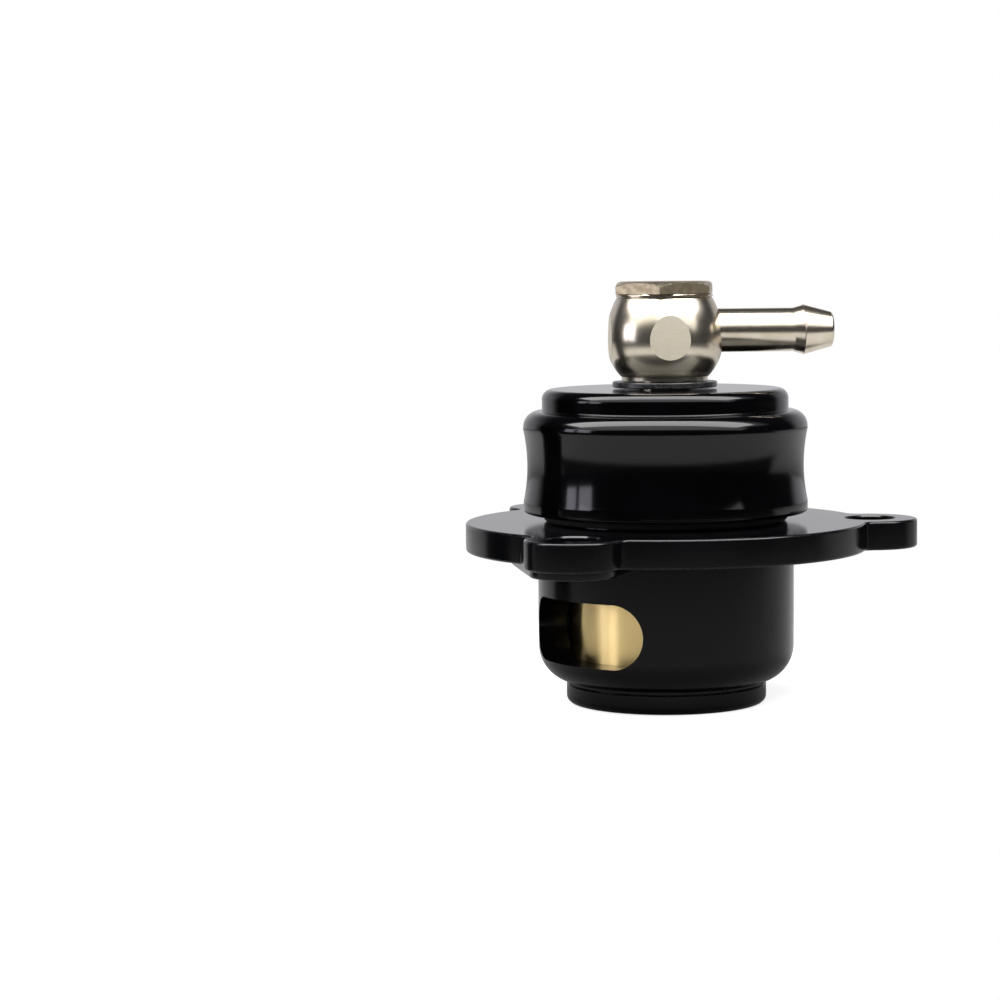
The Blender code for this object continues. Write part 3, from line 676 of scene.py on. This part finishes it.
@dataclass
class LowerBody:
    """The one-piece body: spigot, lower body with ports, flange with ears and boss, neck."""

    bore: float = 13.5 * MM
    inlet: float = 11.4 * MM
    inlet_chamfer: float = 0.6 * MM
    spigot: float = 14.0 * MM
    spigot_height: float = 3.1 * MM
    spigot_edge: float = 1.0 * MM
    undercut: float = 13.6 * MM
    undercut_bottom: float = 2.75 * MM
    undercut_edge: float = 0.14 * MM
    outer: float = 17.9 * MM
    fillet: float = 5.0 * MM
    port_centre: float = 11.05 * MM
    port_radius: float = 4.45 * MM
    port_facing: float = 222.0
    port_half_angle: float = 22.5
    flange: float = 28.0 * MM
    flange_bottom: float = 21.5 * MM
    flange_top: float = 25.5 * MM
    flange_edge: float = 0.35 * MM
    ear_circle: float = 28.8 * MM
    ear: float = 6.58 * MM
    ear_fillet: float = 1.6 * MM
    ear_turn: float = 4.0
    hole: float = 3.45 * MM
    hole_chamfer: float = 0.2 * MM
    boss_drop: float = 1.0 * MM
    boss_tip: float = 5.9 * MM
    boss_root: float = 9.5 * MM
    boss_root_circle: float = 15.5 * MM
    boss_facing: float = 220.3
    boss_edge: float = 0.35 * MM
    neck: float = 17.0 * MM
    neck_top: float = 38.2 * MM
    neck_chamfer: float = 0.8 * MM
    relief: float = 15.7 * MM
    relief_top: float = 27.7 * MM
    slab_share: float = 0.998
    plate_steps: int = 3
    centre_height: float = 20.0 * MM

    def shell(self) -> Piece:
        """Turn the spigot, the rounded lower body and the neck, and return them."""
        inside_flange = (self.flange_bottom + self.flange_top) / 2.0
        middle = self.outer - self.fillet
        fillet_height = self.spigot_height + self.fillet
        swing = 90.0 - math.degrees(math.asin((self.undercut - middle) / self.fillet))
        profile = Profile("valve_body_fine", self.bore, self.neck_top)
        profile.to(
            (self.neck - self.neck_chamfer, self.neck_top),
            (self.neck, self.neck_top - self.neck_chamfer), (self.neck, self.relief_top),
            (self.relief, self.relief_top), (self.relief, inside_flange),
            (self.outer, inside_flange), (self.outer, fillet_height),
        )
        profile.round(middle, fillet_height, -swing, Steps.ARC)
        profile.to(
            (self.undercut, self.undercut_bottom),
            (self.spigot - self.undercut_edge, self.undercut_bottom),
            (self.spigot, self.undercut_bottom - self.undercut_edge),
            (self.spigot, self.spigot_edge),
        )
        profile.round(self.spigot - self.spigot_edge, self.spigot_edge, -90.0)
        profile.to(
            (self.inlet + self.inlet_chamfer, 0.0), (self.inlet, self.inlet_chamfer),
            (self.inlet, self.spigot_height), (self.bore, self.spigot_height),
            (self.bore, self.neck_top),
        )
        return profile.turned()

    def ear_angles(self) -> list[float]:
        """Return the directions of the three ears."""
        return [self.ear_turn + 120.0 * index for index in range(3)]

    def plate(self) -> Piece:
        """Draw the flange's outline arc by arc, raise it and return it."""
        reach = self.flange + self.ear_fillet
        ear_reach = self.ear + self.ear_fillet
        cosine = (reach**2 + self.ear_circle**2 - ear_reach**2) / (2.0 * reach * self.ear_circle)
        offset = math.degrees(math.acos(cosine))
        start = (*polar(self.flange, self.ear_turn - offset), self.flange_bottom)
        outline = Outline("flange_plate", start)
        for angle in self.ear_angles():
            ear = Vector(polar(self.ear_circle, angle))
            before = Vector(polar(reach, angle - offset))
            after = Vector(polar(reach, angle + offset))
            enter = math.degrees(math.atan2(before.y - ear.y, before.x - ear.x))
            leave = math.degrees(math.atan2(after.y - ear.y, after.x - ear.x))
            outline.round(before, -((angle - offset - enter) % 360.0), Steps.FILLET)
            outline.round(ear, (leave - enter) % 360.0, Steps.BAR)
            outline.round(after, -((leave - angle - offset) % 360.0), Steps.FILLET)
            outline.round((0.0, 0.0), 120.0 - 2.0 * offset, Steps.FLANGE)
        thickness = self.flange_top - self.flange_bottom
        return outline.raised(thickness, self.flange_edge, self.plate_steps)

    def boss(self) -> Piece:
        """Draw the thin boss under the front ear, raise it into the flange, and return it."""
        angle = self.ear_angles()[-1]
        tip = Vector(polar(self.ear_circle, angle))
        root = Vector(polar(self.boss_root_circle, self.boss_facing))
        facing = math.degrees(math.atan2(tip.y - root.y, tip.x - root.x))
        lean = math.degrees(math.acos((self.boss_root - self.boss_tip) / (tip - root).length))
        start = tip + Vector(polar(self.boss_tip, facing - lean))
        bottom = self.flange_bottom - self.boss_drop
        outline = Outline("boss", (*start, bottom))
        outline.round(tip, 2.0 * lean, Steps.BAR)
        side = root + Vector(polar(self.boss_root, facing + lean))
        outline.line((*side, bottom))
        outline.round(root, 360.0 - 2.0 * lean, Steps.BAR)
        return outline.raised(2.0 * self.boss_drop, self.boss_edge, Steps.RIM)

    def port_tool(self, facing: float) -> Piece:
        """Make the cutter of one side port: a round mill's path that swings about the axis.

        Args:
            facing: The port's direction.

        Returns:
            The cutter.
        """
        inner, outer = self.bore - OVER / 2.0, self.outer + OVER
        start = facing - self.port_half_angle
        half = self.port_radius * self.slab_share
        low, high = self.port_centre - half, self.port_centre + half
        sweep = Sketch("port", (*polar(inner, start), low))
        for radius, height in ((outer, low), (outer, high), (inner, high), (inner, low)):
            sweep.line((*polar(radius, start), height))
        sweep.merge()
        OPS.edge_face_add()
        swing = math.radians(2.0 * self.port_half_angle)
        OPS.spin(steps=Steps.SWEEP, angle=-swing, center=(0, 0, 0), axis=(0, 0, 1))
        sweep.merge()
        OPS.normals_make_consistent()
        deselect()
        for angle in (start, facing + self.port_half_angle):
            spot = (*polar((inner + outer) / 2.0, angle), self.port_centre)
            end = rod(spot, self.port_radius, outer - inner, Steps.HOLE, (0.0, 90.0, angle))
            join(sweep.piece, end, Joining.ADD)
        return sweep.piece

    def hole_tool(self, angle: float, bottom: float) -> Piece:
        """Make the cutter of one bolt hole with its two chamfers.

        Args:
            angle: The ear's direction.
            bottom: The height of the hole's lower rim.

        Returns:
            The cutter.
        """
        wide = self.hole + self.hole_chamfer + OVER
        profile = Profile("bolt_hole", 0.0, bottom - OVER)
        profile.to((wide, bottom - OVER), (self.hole, bottom + self.hole_chamfer))
        profile.to((self.hole, self.flange_top - self.hole_chamfer), (wide, self.flange_top + OVER))
        profile.to((0.0, self.flange_top + OVER))
        return place(profile.turned(Steps.HOLE), (*polar(self.ear_circle, angle), 0.0))

    def build(self) -> None:
        """Model the body and dress it."""
        body = self.shell()
        clear = (self.bore + self.relief) / 2.0
        spot = (0.0, 0.0, self.flange_bottom)
        for plate in (self.plate(), self.boss()):
            join(plate, rod(spot, clear, self.centre_height, Steps.TURNED))
            join(body, plate, Joining.ADD)
        for angle, drop in zip(self.ear_angles(), (0.0, 0.0, self.boss_drop)):
            join(body, self.hole_tool(angle, self.flange_bottom - drop))
        for facing in (self.port_facing, self.port_facing + 180.0):
            join(body, self.port_tool(facing))
        complete(body, Slot.BODY, "valve_body", SATIN_BLACK, FACED_BLACK)
        assign(body, 1, lambda face: face.center.z > self.flange_top - self.flange_edge)


@dataclass
class SpringCap:
    """The turned cap over the spring, with its O-ring."""

    eye_chamfer: float = 0.25 * MM
    outer: float = 19.85 * MM
    bottom: float = 26.8 * MM
    rim: float = 0.5 * MM
    waist_depth: float = 0.55 * MM
    waist_bottom: float = 28.3 * MM
    shoulder: float = 41.0 * MM
    shoulder_round: float = 2.25 * MM
    shoulder_tuck: float = 12.0
    step: float = 17.2 * MM
    step_corner: float = 0.2 * MM
    top: float = 44.0 * MM
    step_round: float = 1.4 * MM
    thread: float = 17.3 * MM
    thread_top: float = 38.5 * MM
    pocket: float = 11.6 * MM
    pocket_top: float = 41.2 * MM
    boss: float = 6.6 * MM
    boss_bottom: float = 37.5 * MM
    seal_centre: float = 16.4 * MM
    seal_height: float = 26.15 * MM
    seal_section: float = 0.5 * MM
    seal_flat: float = 0.15 * MM

    def cap(self) -> Piece:
        """Turn the cap and return it."""
        profile = Profile("spring_cap_fine", EYE, self.top - self.eye_chamfer)
        profile.to((EYE + self.eye_chamfer, self.top), (self.step - self.step_round, self.top))
        profile.round(self.step - self.step_round, self.top - self.step_round, -90.0, Steps.ROLL)
        profile.to((self.step, self.shoulder + self.step_corner))
        corner = self.step + self.step_corner
        profile.round(corner, self.shoulder + self.step_corner, 90.0, Steps.RIM)
        shoulder = self.outer - self.shoulder_round
        waist_top = self.shoulder - self.shoulder_round
        profile.to((shoulder, self.shoulder))
        profile.round(shoulder, waist_top, -90.0 - self.shoulder_tuck, Steps.ARC)
        middle = (self.outer - self.waist_depth, (waist_top + self.waist_bottom) / 2.0)
        profile.bow((self.outer, self.waist_bottom), middle, Steps.WAIST)
        profile.to((self.outer, self.bottom + self.rim))
        profile.round(self.outer - self.rim, self.bottom + self.rim, -90.0)
        profile.to(
            (self.thread, self.bottom), (self.thread, self.thread_top),
            (self.pocket, self.thread_top), (self.pocket, self.pocket_top),
            (self.boss, self.pocket_top), (self.boss, self.boss_bottom),
            (EYE, self.boss_bottom), (EYE, self.top - self.eye_chamfer),
        )
        return profile.turned()

    def seal(self) -> Piece:
        """Turn the O-ring, squeezed a little flat where it touches, and return it."""
        outer, inner = self.seal_centre + self.seal_flat, self.seal_centre - self.seal_flat
        low, high = self.seal_height - self.seal_section, self.seal_height + self.seal_section
        profile = Profile("cap_o_ring_fine", outer, low)
        profile.round(outer, self.seal_height, 180.0, Steps.ROLL).to((inner, high))
        profile.round(inner, self.seal_height, 180.0, Steps.ROLL).to((outer, low))
        return profile.turned()

    def build(self) -> None:
        """Model the cap and its O-ring and dress them."""
        complete(self.cap(), Slot.CAP, "spring_cap", GLOSS_BLACK)
        complete(self.seal(), Slot.SEAL, "cap_o_ring", SEAL_RUBBER)


@dataclass
class Piston:
    """The brass piston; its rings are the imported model's own."""

    outer: float = 13.2 * MM
    cup: float = 11.0 * MM
    cup_round: float = 1.0 * MM
    bottom: float = 3.4 * MM
    floor_top: float = 6.6 * MM
    top: float = 26.4 * MM
    nose: float = 0.8 * MM
    groove_depth: float = 1.1 * MM
    grooves: tuple[Point, ...] = (
        (22.8 * MM, 25.2 * MM), (20.4 * MM, 22.0 * MM), (17.2 * MM, 19.6 * MM)
    )
    edge: float = 0.12 * MM

    def barrel(self) -> Piece:
        """Turn the piston and return it."""
        profile = Profile("piston_fine", 0.0, self.floor_top)
        corner = self.cup - self.cup_round
        profile.to((corner, self.floor_top)).round(corner, self.floor_top + self.cup_round, 90.0)
        profile.to((self.cup, self.top), (self.outer - self.edge, self.top))
        profile.to((self.outer, self.top - self.edge))
        inner = self.outer - self.groove_depth
        for low, high in self.grooves:
            profile.to((self.outer, high), (inner, high), (inner, low), (self.outer, low))
        profile.to((self.outer, self.bottom + self.nose + self.edge))
        profile.to((self.outer - self.edge, self.bottom + self.nose))
        profile.to((self.outer - self.nose, self.bottom), (0.0, self.bottom))
        return profile.turned()

    def build(self) -> None:
        """Model the piston, and dress it and its rings."""
        complete(self.barrel(), Slot.PISTON, "piston", TURNED_BRASS, body=Body.PISTON)
        dress(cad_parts["piston_o_ring"], SEAL_RUBBER)
        for name in ("lower_guide_ring", "upper_guide_ring"):
            dress(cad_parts[name], GUIDE_PLASTIC)


@dataclass
class SpringPack:
    """The compression spring under its shim."""

    mean: float = 9.4 * MM
    wire: float = 0.8 * MM
    bottom: float = 6.8 * MM
    top: float = 40.3 * MM
    end_pitch: float = 1.75 * MM
    active_turns: int = 5
    ground: float = 0.25 * MM
    travel: float = 11.0 * MM

    def turns(self, height: float, count: int, rise: float) -> Piece:
        """Wind evenly pitched turns.

        Args:
            height: Height of the wire's centre at the start.
            count: How many turns.
            rise: How far they rise.

        Returns:
            The turns, open at both ends.
        """
        coil = primitive("circle", "spring_fine", vertices=Steps.WIRE, radius=self.wire)
        place(coil, (self.mean, 0.0, height), (90.0, 0.0, 0.0))
        winding = coil.modifiers.new("winding", "SCREW")
        winding.angle = math.tau * count
        winding.screw_offset = rise
        winding.steps = winding.render_steps = Steps.SWEEP * count
        bpy.ops.object.modifier_apply(modifier=winding.name)
        return coil

    def coil(self) -> Piece:
        """Wind the spring with closed and ground ends, and return it."""
        start = self.bottom + self.wire - self.ground
        finish = self.top - self.wire + self.ground
        rise = finish - start - 2.0 * self.end_pitch
        spring = self.turns(start, 1, self.end_pitch)
        middle = self.turns(start + self.end_pitch, self.active_turns, rise)
        last = self.turns(finish - self.end_pitch, 1, self.end_pitch)
        choose(spring)
        for piece in (middle, last):
            piece.select_set(True)
        bpy.ops.object.join()
        edit(spring)
        OPS.remove_doubles(threshold=MERGE)
        OPS.fill_holes(sides=0)
        OPS.select_all(action="SELECT")
        OPS.normals_make_consistent()
        spot = (0.0, 0.0, (self.bottom + self.top) / 2.0)
        ground = rod(spot, self.mean + 2.0 * self.wire, self.top - self.bottom)
        join(spring, ground, Joining.KEEP)
        return spring

    def build(self) -> None:
        """Model the spring, and dress it and the shim."""
        spring = self.coil()
        complete(spring, Slot.SPRING, "spring", SPRING_STEEL)
        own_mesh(spring)
        dress(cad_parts["spring_shim"], SPRING_STEEL)


@dataclass
class Banjo:
    """The banjo fitting: a barrel with three flats, a bored eye and a hose barb."""

    turn: float = 5.0
    bottom: float = 45.2 * MM
    foot_top: float = 45.7 * MM
    top: float = 56.65 * MM
    foot: float = 6.0 * MM
    lower: float = 6.1 * MM
    middle: float = 8.15 * MM
    middle_height: float = 50.8 * MM
    upper: float = 6.75 * MM
    flat: float = 7.65 * MM
    groove: float = 5.3 * MM
    groove_half: float = 2.3 * MM
    barb_bore: float = 1.6 * MM
    shaft: float = 3.03 * MM
    shaft_end: float = 18.0 * MM
    ridge: float = 3.5 * MM
    ridge_at: float = 19.4 * MM
    tip: float = 2.45 * MM
    length: float = 23.5 * MM
    tip_edge: float = 0.25 * MM
    ridge_edge: float = 0.1 * MM
    top_edge: float = 0.15 * MM
    sharp: float = 12.0
    sides: tuple[Triple, ...] = ((0, 1, 0), (-1, 0, 0), (0, -1, 0))

    def barrel(self) -> Piece:
        """Turn the barrel, mill its three flats, and return it."""
        upper_end = (self.upper, self.top - self.top_edge)
        profile = Profile("banjo_fine", 0.0, self.top)
        profile.to((self.upper - self.top_edge, self.top), upper_end)
        for radius, height in (upper_end, (self.lower, self.foot_top)):
            sag, rise = self.middle - radius, height - self.middle_height
            bend = (sag**2 + rise**2) / (2.0 * sag)
            swing = math.degrees(math.asin(abs(rise) / bend))
            profile.round(self.middle - bend, self.middle_height, -swing, Steps.ARC)
        profile.to((self.foot, self.foot_top), (self.foot, self.bottom), (0.0, self.bottom))
        barrel = profile.turned(Steps.FITTING)
        for direction in self.sides:
            spot = Vector(direction) * (self.flat + self.middle)
            spot.z = BARB_HEIGHT
            block = primitive("cube", "flat_cutter", size=2.0 * self.middle)
            join(barrel, place(block, spot))
        return barrel

    def barb(self) -> Piece:
        """Turn the hose barb, lay it along X, and return it."""
        profile = Profile("barb", 0.0, EYE)
        profile.to((self.shaft, EYE), (self.shaft, self.shaft_end))
        profile.to((self.ridge - self.ridge_edge, self.ridge_at - self.ridge_edge))
        profile.to((self.ridge, self.ridge_at), (self.tip, self.length - self.tip_edge))
        profile.to((self.tip - self.tip_edge, self.length), (0.0, self.length))
        return place(profile.turned(Steps.HOLE), (0.0, 0.0, BARB_HEIGHT), ALONG_X)

    def eye_tool(self) -> Piece:
        """Turn the cutter of the eye with its inner groove, and return it."""
        low, high = BARB_HEIGHT - self.groove_half, BARB_HEIGHT + self.groove_half
        profile = Profile("eye", 0.0, self.top + OVER)
        profile.to(
            (EYE, self.top + OVER), (EYE, high), (self.groove, high), (self.groove, low),
            (EYE, low), (EYE, self.bottom - OVER), (0.0, self.bottom - OVER),
        )
        return profile.turned(Steps.FITTING)

    def build(self) -> None:
        """Model the banjo and dress it."""
        banjo = self.barrel()
        join(banjo, self.barb(), Joining.ADD)
        join(banjo, self.eye_tool())
        end = self.length + OVER
        middle = ((EYE + end) / 2.0, 0.0, BARB_HEIGHT)
        join(banjo, rod(middle, self.barb_bore, end - EYE, Steps.SWEEP, ALONG_X))
        dress(banjo, NICKEL, NICKEL_BARB, NICKEL_FLAT)
        assign(banjo, 1, lambda face: face.center.x > self.middle)
        for direction in self.sides:
            side = Vector(direction)
            assign(banjo, 2, lambda face: abs(face.center.dot(side) - self.flat) < MERGE)
        place(banjo, turn=(0.0, 0.0, self.turn))
        complete(banjo, Slot.FITTING, "banjo_fitting", body=Body.BANJO, sharp=self.sharp)


@dataclass
class BanjoBolt:
    """The hollow bolt through the banjo, with its two washers."""

    across: float = 13.0 * MM
    head_bottom: float = 57.2 * MM
    head_top: float = 58.9 * MM
    face_share: float = 0.95
    chamfer: float = 30.0
    turn: float = -95.3
    head_sides: int = 6
    corner_edge: float = 0.2 * MM
    corner_steps: int = 3
    shank: float = 4.0 * MM
    shank_end: float = 38.0 * MM
    shank_chamfer: float = 0.5 * MM
    bore: float = 2.0 * MM
    bore_top: float = 55.7 * MM
    cross: float = 1.6 * MM
    cross_length: float = 10.0 * MM
    overlap: float = 0.2 * MM
    lower_washer: Triple = (7.3 * MM, 44.2 * MM, 45.0 * MM)
    upper_washer: Triple = (6.75 * MM, 56.70 * MM, 57.15 * MM)
    washer_edge: float = 0.12 * MM

    def head(self) -> Piece:
        """Make the chamfered hexagon head and return it."""
        flat = self.across / 2.0
        corner = flat / math.cos(math.pi / self.head_sides)
        spot = (0.0, 0.0, (self.head_bottom + self.head_top) / 2.0)
        height = self.head_top - self.head_bottom
        head = rod(spot, corner, height, self.head_sides, (0.0, 0.0, self.turn - 90.0))
        head.name = "banjo_bolt_fine"
        edit(head)
        select_edges(head, lambda side: abs(side.verts[0].co.z - side.verts[1].co.z) > MM)
        OPS.bevel(offset=self.corner_edge, segments=self.corner_steps, affect="EDGES")
        face = flat * self.face_share
        beyond, low = corner + OVER, self.head_bottom - OVER
        drop = (beyond - face) * math.tan(math.radians(self.chamfer))
        cone = Profile("cone", 0.0, self.head_top)
        cone.to((face, self.head_top), (beyond, self.head_top - drop), (beyond, low), (0.0, low))
        join(head, cone.turned(), Joining.KEEP)
        return head

    def washer(self, name: str, outer: float, bottom: float, top: float) -> Piece:
        """Turn a flat washer with broken edges.

        Args:
            name: Its name.
            outer: Its outer radius.
            bottom: Its lower face's height.
            top: Its upper face's height.

        Returns:
            The washer.
        """
        edge = self.washer_edge
        profile = Profile(name, EYE, top)
        profile.to((outer - edge, top), (outer, top - edge), (outer, bottom + edge))
        profile.to((outer - edge, bottom), (EYE, bottom), (EYE, top))
        return profile.turned(Steps.FITTING)

    def build(self) -> None:
        """Model the bolt and the washers and dress them."""
        bolt = self.head()
        joint, low = self.head_bottom + self.overlap, self.shank_end - OVER
        shank = Profile("shank", 0.0, joint)
        shank.to((self.shank, joint), (self.shank, self.shank_end + self.shank_chamfer))
        shank.to((self.shank - self.shank_chamfer, self.shank_end), (0.0, self.shank_end))
        join(bolt, shank.turned(Steps.HOLE), Joining.ADD)
        spot = (0.0, 0.0, (low + self.bore_top) / 2.0)
        join(bolt, rod(spot, self.bore, self.bore_top - low))
        spot = (0.0, 0.0, BARB_HEIGHT)
        join(bolt, rod(spot, self.cross, self.cross_length, turn=ALONG_X))
        complete(bolt, Slot.FITTING, "banjo_bolt", NICKEL, NICKEL_HEAD)
        assign(bolt, 1, lambda face: face.center.z > self.head_bottom - MERGE)
        lower = self.washer("lower_washer_fine", *self.lower_washer)
        complete(lower, Slot.WASHER, "lower_washer", WASHER_BLACK)
        upper = self.washer("upper_washer_fine", *self.upper_washer)
        complete(upper, Slot.FITTING, "upper_washer", NICKEL)


# ---- studio


@dataclass(frozen=True)
class Lamp:
    """A soft rectangular lamp that points at the valve."""

    name: str
    azimuth: float
    elevation: float
    distance: float
    width: float
    height: float
    brightness: float
    colour: Triple = WHITE

    def build(self, target: Vector) -> None:
        """Add the lamp.

        Args:
            target: The point that it faces.
        """
        light = bpy.data.lights.new(self.name, "AREA")
        light.shape = "RECTANGLE"
        light.size, light.size_y = self.width, self.height
        light.color = self.colour
        light.energy = self.brightness * math.pi * self.width * self.height
        lamp = bpy.data.objects.new(self.name, light)
        bpy.context.scene.collection.objects.link(lamp)
        rise = math.radians(self.elevation)
        away = Vector((*polar(math.cos(rise), self.azimuth - 90.0), math.sin(rise)))
        lamp.location = target + away * self.distance
        lamp.rotation_euler = away.to_track_quat("Z", "Y").to_euler()


def grey(level: float) -> Triple:
    """Return a neutral colour."""
    return level, level, level


def card(name: str, size: Point, spot: Triple, turn: Triple = (0, 0, 0)) -> Piece:
    """Make a flat card.

    Args:
        name: Its name.
        size: Its width and length.
        spot: Its middle.
        turn: Its turn about X, Y and Z, from lying flat.

    Returns:
        The card.
    """
    made = primitive("plane", name, size=1.0)
    made.scale = (*size, 1.0)
    return place(made, spot, turn)


@dataclass
class Studio:
    """Floor, card, surroundings, lamps and camera. A run is where a change starts and ends."""

    target: Triple = (0.0, 0.0, 0.03)
    eye: Triple = (-0.008, -0.3996, 0.06256)
    aim: Triple = (-0.02318, 0.0, 0.02849)
    roll: float = -0.57
    lens: float = 102.9
    near_clip: float = 0.01
    floor_size: Point = (1.20, 0.86)
    floor_middle: Triple = (0.0, 0.17, 0.0)
    flag_size: Point = (0.046, 0.065)
    flag_distance: float = 0.108
    flag_facing: float = 169.3
    flag_tone: float = 0.003
    shadow_run: Point = (0.03, 0.11)
    # where the floor's painted shade for the gloss starts and ends, by distance from the valve
    painted_shade_run: Point = (0.19, 0.23)
    front_run: Point = (0.0, 0.06)
    paper_tones: Point = (0.30, 0.02)
    paper_seen: float = 0.45
    paper_glow: float = 0.65
    backdrop_ahead: Point = (0.50, 0.72)
    backdrop_up: Point = (0.20, 0.60)
    backdrop: Triple = (0.68, 0.67, 0.70)
    room_ahead: Point = (0.05, 0.20)
    room_up: Point = (0.40, 0.52)
    room_dim: Triple = (0.03, 0.03, 0.034)
    room_bright: Triple = (0.90, 0.90, 0.93)
    fill: Triple = (0.42, 0.42, 0.43)
    lamps: tuple[Lamp, ...] = (
        Lamp("overhead", -8.0, 76.0, 0.40, 1.20, 0.27, 11.0),
        Lamp("key", -6.0, 43.0, 0.42, 1.90, 0.24, 1.8),
        Lamp("left_pane", -82.5, 10.0, 0.45, 0.075, 0.115, 5.0, (0.88, 0.88, 1.0)),
        Lamp("right_pane", -68.5, 10.0, 0.45, 0.095, 0.115, 5.0, (0.88, 0.88, 1.0)),
    )

    def floor(self) -> None:
        """Lay the pale floor, which looks white outside the valve's shadow."""
        floor = card("floor", self.floor_size, self.floor_middle)
        graph = Graph(bpy.data.materials.new("paper"))
        camera = graph.add("LightPath").outputs["Is Camera Ray"]
        where = graph.add("TexCoord").outputs["Object"]
        away = graph.add("VectorMath", {0: where}, operation="LENGTH").outputs["Value"]
        far = graph.spread(away, self.shadow_run)
        # painted shade: for rays other than the camera's, the floor's colour turns dark away from
        # the valve and in front, for the unlit room that the gloss reflects
        front = graph.spread(graph.axes(where)[1], self.front_run, 1.0, 0.0)
        dark = graph.calc("MULTIPLY", graph.spread(away, self.painted_shade_run), front)
        sheet = graph.blend(dark, *[grey(tone) for tone in self.paper_tones])
        dull = graph.out("BsdfDiffuse", sheet)
        half = graph.out("BsdfDiffuse", grey(self.paper_seen))
        glow = graph.out("Emission", WHITE, self.paper_glow)
        near = graph.out("AddShader", half, glow)
        seen = graph.out("MixShader", far, near, graph.out("Emission", WHITE))
        mixed = graph.out("MixShader", camera, dull, seen)
        graph.coat(floor, mixed)

    def flag(self) -> None:
        """Stand a black card at the left, unseen by the camera, for a dark line in the gloss."""
        spot = (*polar(self.flag_distance, self.flag_facing), self.flag_size[1] / 2.0)
        flag = card("black_flag", self.flag_size, spot, (90.0, 0.0, self.flag_facing - 90.0))
        flag.visible_camera = False
        graph = Graph(bpy.data.materials.new("black_card"))
        graph.coat(flag, graph.out("BsdfDiffuse", grey(self.flag_tone)))

    def surroundings(self) -> None:
        """Surround the valve with white, and for gloss with a backdrop and bright sides."""
        world = bpy.data.worlds.new("surroundings")
        bpy.context.scene.world = world
        graph = Graph(world)
        _, ahead, up = graph.axes(graph.add("TexCoord").outputs["Generated"])
        low = graph.spread(up, self.backdrop_up, 1.0, 0.0)
        behind = graph.calc("MULTIPLY", graph.spread(ahead, self.backdrop_ahead), low)
        front = graph.spread(ahead, self.room_ahead, 1.0, 0.0)
        sides = graph.calc("MULTIPLY", graph.spread(up, self.room_up), front)
        room = graph.blend(sides, self.room_dim, self.room_bright)
        gloss = graph.blend(behind, room, self.backdrop)
        path = graph.add("LightPath").outputs
        clear = graph.calc("MAXIMUM", path["Is Glossy Ray"], path["Is Transmission Ray"])
        mirrored = graph.blend(clear, self.fill, gloss)
        colour = graph.blend(path["Is Camera Ray"], mirrored, WHITE)
        graph.add("OutputWorld", {"Surface": graph.out("Background", colour)})

    def camera(self) -> None:
        """Stand the camera at the photograph's angle."""
        data = bpy.data.cameras.new("camera")
        data.lens = self.lens
        data.clip_start = self.near_clip
        camera = bpy.data.objects.new("camera", data)
        bpy.context.scene.collection.objects.link(camera)
        camera.location = self.eye
        back = Vector(self.eye) - Vector(self.aim)
        roll = Matrix.Rotation(math.radians(self.roll), 3, "Z")
        camera.rotation_euler = (back.to_track_quat("Z", "Y").to_matrix() @ roll).to_euler()
        bpy.context.scene.camera = camera

    def build(self) -> None:
        """Set up the studio."""
        self.floor()
        self.flag()
        self.surroundings()
        for lamp in self.lamps:
            lamp.build(Vector(self.target))
        self.camera()
        bpy.context.scene.view_settings.view_transform = "Standard"
        log.info("studio: %d lamps", len(self.lamps))


def main() -> None:
    """Build every sub-assembly in order, then the studio."""
    logging.basicConfig(level=logging.INFO, format="%(name)s %(message)s")
    for part in (LowerBody, SpringCap, Piston, SpringPack, Banjo, BanjoBolt, Studio):
        part().build()


if __name__ == "__main__":
    main()
